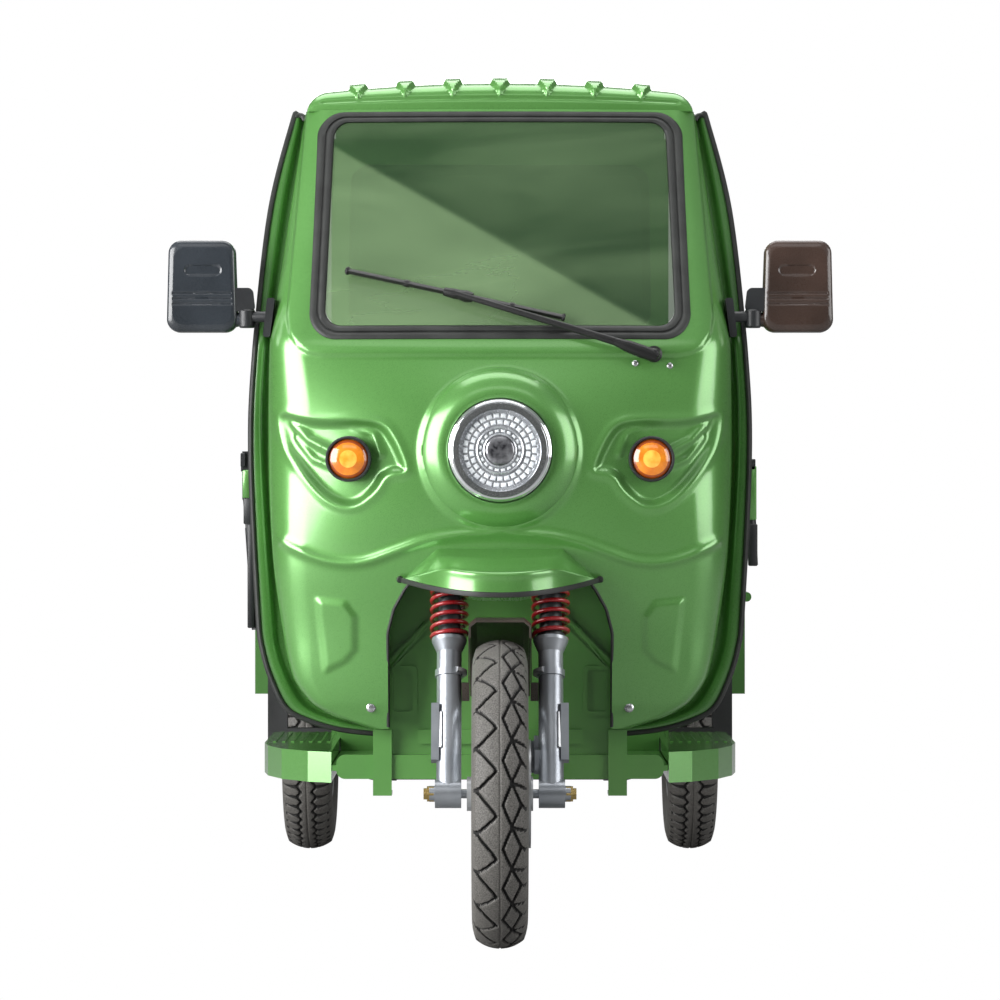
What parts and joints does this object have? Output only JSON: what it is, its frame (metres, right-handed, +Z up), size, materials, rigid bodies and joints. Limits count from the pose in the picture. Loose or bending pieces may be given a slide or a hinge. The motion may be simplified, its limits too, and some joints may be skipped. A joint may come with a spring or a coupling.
{
  "type": "electric cargo tricycle",
  "caption": "Three-wheeled electric cargo vehicle with a rounded half cab, one steered front wheel on a sprung fork and a rear cargo bed with drop sides.",
  "frame": {"origin": "on the ground, at the middle of the overall length and width", "axes": "+Z up, the vehicle faces -Y, +X is the right side of a front view"},
  "size_m": [1.2168, 2.9699, 1.5699],
  "materials": {
    "green_paint": "gloss",
    "chassis_black": "satin",
    "inner_green": "satin",
    "black_rubber": "matte",
    "tyre_rubber": "matte",
    "clear_glass": "clear",
    "mirror_silver": "polished",
    "mirror_plastic": "satin",
    "black_plastic": "satin",
    "lamp_chrome": "polished",
    "lamp_clear": "clear",
    "amber_plastic": "gloss",
    "red_plastic": "gloss",
    "cast_alloy": "satin",
    "fork_steel": "satin",
    "spring_red": "gloss",
    "rim_silver": "satin",
    "axle_iron": "rough",
    "spring_steel": "satin",
    "seat_vinyl": "matte",
    "battery_case": "matte",
    "bed_steel": "satin"
  },
  "bodies": {
    "chassis": {"frame": "chassis_black", "cab_floor": "inner_green", "step_boards": "green_paint", "front_cowl": "green_paint", "cowl_flange": "green_paint", "cowl_trim": "black_rubber", "brow": "green_paint", "windscreen": "clear_glass", "windscreen_gasket": "black_rubber", "roof": "green_paint", "cab_rear_wall": "green_paint", "rear_window": "clear_glass", "headlamp_shell": "lamp_chrome", "headlamp_lens": "lamp_clear", "indicator_shells": "black_plastic", "indicator_lenses": "amber_plastic", "wiper": "black_plastic", "mirrors": "mirror_plastic", "mirror_glasses": "mirror_silver", "brake_pedal": "chassis_black", "seat_base": "chassis_black", "battery": "battery_case", "seat_cushions": "seat_vinyl", "cargo_floor": "bed_steel", "headboard": "bed_steel", "gate_latches": "chassis_black", "rear_mudguards": "green_paint", "rear_axle": "axle_iron", "leaf_springs": "spring_steel", "rear_bumper": "chassis_black", "tail_lamps": "red_plastic"},
    "fork": {"fork_lowers": "cast_alloy", "fork_yoke": "fork_steel", "fork_springs": "spring_red", "handlebar": "black_plastic", "front_mudguard": "black_plastic"},
    "front_wheel_set": {"front_tyre": "tyre_rubber", "front_wheel": "rim_silver"},
    "left_wheel_set": {"left_tyre": "tyre_rubber", "left_wheel": "rim_silver"},
    "right_wheel_set": {"right_tyre": "tyre_rubber", "right_wheel": "rim_silver"},
    "left_gate_body": {"left_gate": "bed_steel"},
    "right_gate_body": {"right_gate": "bed_steel"},
    "tailgate_body": {"tailgate": "bed_steel"}
  },
  "joints": [
    {"name": "steering", "type": "hinge", "parent": "chassis", "child": "fork", "pos_m": [0, -0.9722, 0.8201], "axis": [0, 0.342, 0.9397], "range_deg": [-35, 35]},
    {"name": "front_wheel_spin", "type": "hinge", "parent": "fork", "child": "front_wheel_set", "pos_m": [0, -1.215, 0.27], "axis": [1, 0, 0], "continuous": true},
    {"name": "left_wheel_spin", "type": "hinge", "parent": "chassis", "child": "left_wheel_set", "pos_m": [-0.422, 0.835, 0.27], "axis": [1, 0, 0], "continuous": true},
    {"name": "right_wheel_spin", "type": "hinge", "parent": "chassis", "child": "right_wheel_set", "pos_m": [0.422, 0.835, 0.27], "axis": [1, 0, 0], "continuous": true},
    {"name": "left_gate_hinge", "type": "hinge", "parent": "chassis", "child": "left_gate_body", "pos_m": [-0.508, 0.73, 0.58], "axis": [0, -1, 0], "range_deg": [0, 170]},
    {"name": "right_gate_hinge", "type": "hinge", "parent": "chassis", "child": "right_gate_body", "pos_m": [0.508, 0.73, 0.58], "axis": [0, 1, 0], "range_deg": [0, 170]},
    {"name": "tailgate_hinge", "type": "hinge", "parent": "chassis", "child": "tailgate_body", "pos_m": [0, 1.475, 0.58], "axis": [-1, 0, 0], "range_deg": [0, 170]}
  ]
}
